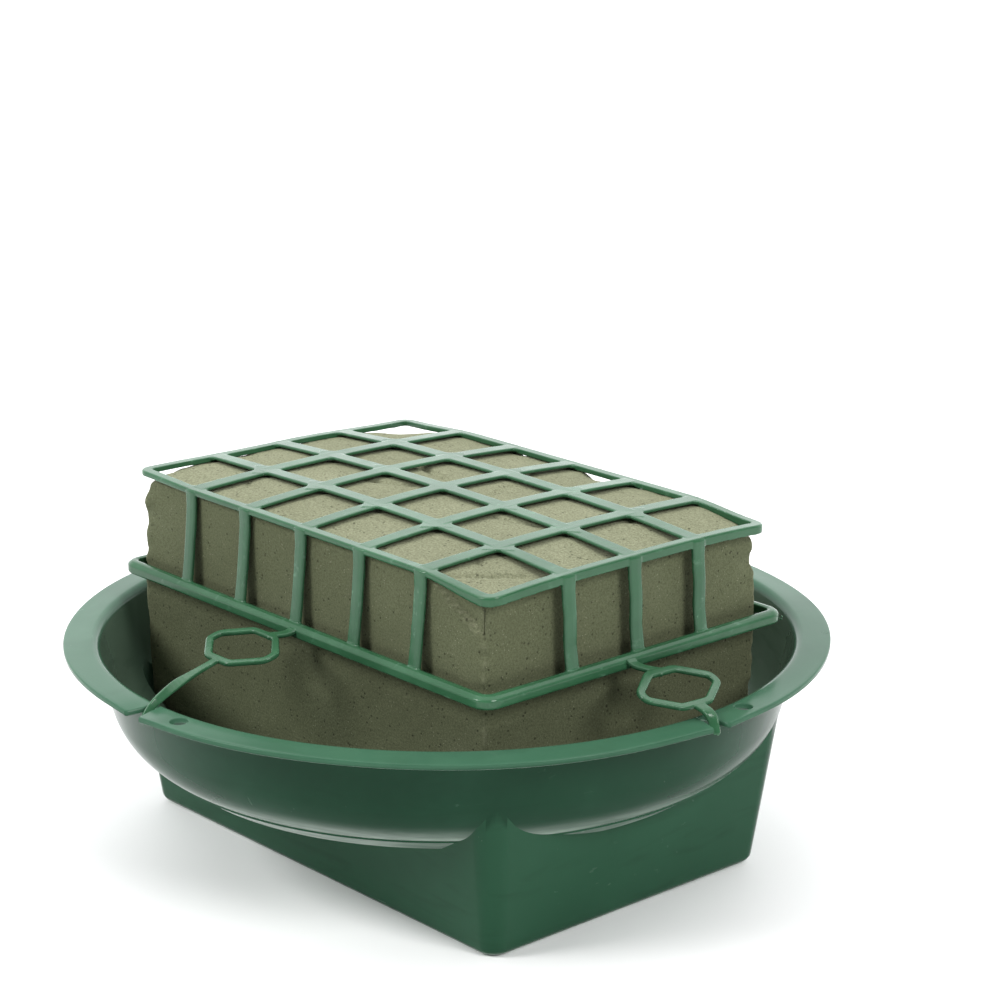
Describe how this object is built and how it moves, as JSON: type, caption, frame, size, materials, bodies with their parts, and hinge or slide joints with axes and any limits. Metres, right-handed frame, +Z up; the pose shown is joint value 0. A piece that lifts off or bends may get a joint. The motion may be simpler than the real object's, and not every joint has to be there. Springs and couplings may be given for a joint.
{
  "type": "floral foam brick",
  "caption": "Rectangular floral foam block standing in a round rimmed bowl, held down by a domed plastic cage with finger-ring straps hooked in rim notches.",
  "frame": {"origin": "middle of the underside of the well, on the table", "axes": "+Z up, +X along the long side of the foam, +Y across it"},
  "size_m": [0.23, 0.23, 0.1099],
  "materials": {
    "bowl_plastic": "satin",
    "cage_plastic": "satin",
    "foam": "matte"
  },
  "bodies": {
    "bowl": {"bowl_dish": "bowl_plastic", "bowl_rim": "bowl_plastic", "bowl_well": "bowl_plastic"},
    "foam": {"foam_block": "foam"},
    "cage": {"cage_cross_bar_1": "cage_plastic", "cage_cross_bar_2": "cage_plastic", "cage_cross_bar_3": "cage_plastic", "cage_cross_bar_4": "cage_plastic", "cage_cross_bar_5": "cage_plastic", "cage_long_bar_1": "cage_plastic", "cage_long_bar_2": "cage_plastic", "cage_long_bar_3": "cage_plastic", "cage_lower_frame": "cage_plastic", "cage_post_back_1": "cage_plastic", "cage_post_back_2": "cage_plastic", "cage_post_back_3": "cage_plastic", "cage_post_back_4": "cage_plastic", "cage_post_back_5": "cage_plastic", "cage_post_front_1": "cage_plastic", "cage_post_front_2": "cage_plastic", "cage_post_front_3": "cage_plastic", "cage_post_front_4": "cage_plastic", "cage_post_front_5": "cage_plastic", "cage_post_left_1": "cage_plastic", "cage_post_left_2": "cage_plastic", "cage_post_left_3": "cage_plastic", "cage_post_right_1": "cage_plastic", "cage_post_right_2": "cage_plastic", "cage_post_right_3": "cage_plastic", "cage_top_frame": "cage_plastic"},
    "link_front": {"link_front_ring": "cage_plastic", "link_front_strap": "cage_plastic"},
    "link_right": {"link_right_ring": "cage_plastic", "link_right_strap": "cage_plastic"},
    "link_back": {"link_back_ring": "cage_plastic", "link_back_strap": "cage_plastic"},
    "link_left": {"link_left_ring": "cage_plastic", "link_left_strap": "cage_plastic"}
  },
  "joints": [
    {"name": "foam_lift", "type": "slide", "parent": "bowl", "child": "foam", "axis": [0, 0, 1], "range_m": [0, 0.1]},
    {"name": "cage_lift", "type": "slide", "parent": "bowl", "child": "cage", "axis": [0, 0, 1], "range_m": [0, 0.2]},
    {"name": "link_front_hinge", "type": "hinge", "parent": "cage", "child": "link_front", "pos_m": [0, -0.0596, 0.0773], "axis": [-1, 0, 0], "range_deg": [0, 100]},
    {"name": "link_right_hinge", "type": "hinge", "parent": "cage", "child": "link_right", "pos_m": [0.0864, 0, 0.0773], "axis": [0, -1, 0], "range_deg": [0, 110]},
    {"name": "link_back_hinge", "type": "hinge", "parent": "cage", "child": "link_back", "pos_m": [0, 0.0596, 0.0773], "axis": [1, 0, 0], "range_deg": [0, 100]},
    {"name": "link_left_hinge", "type": "hinge", "parent": "cage", "child": "link_left", "pos_m": [-0.0864, 0, 0.0773], "axis": [0, 1, 0], "range_deg": [0, 110]}
  ],
  "couplings": [
    {"joint": "cage_lift", "follows": "foam_lift", "ratio": 2}
  ]
}
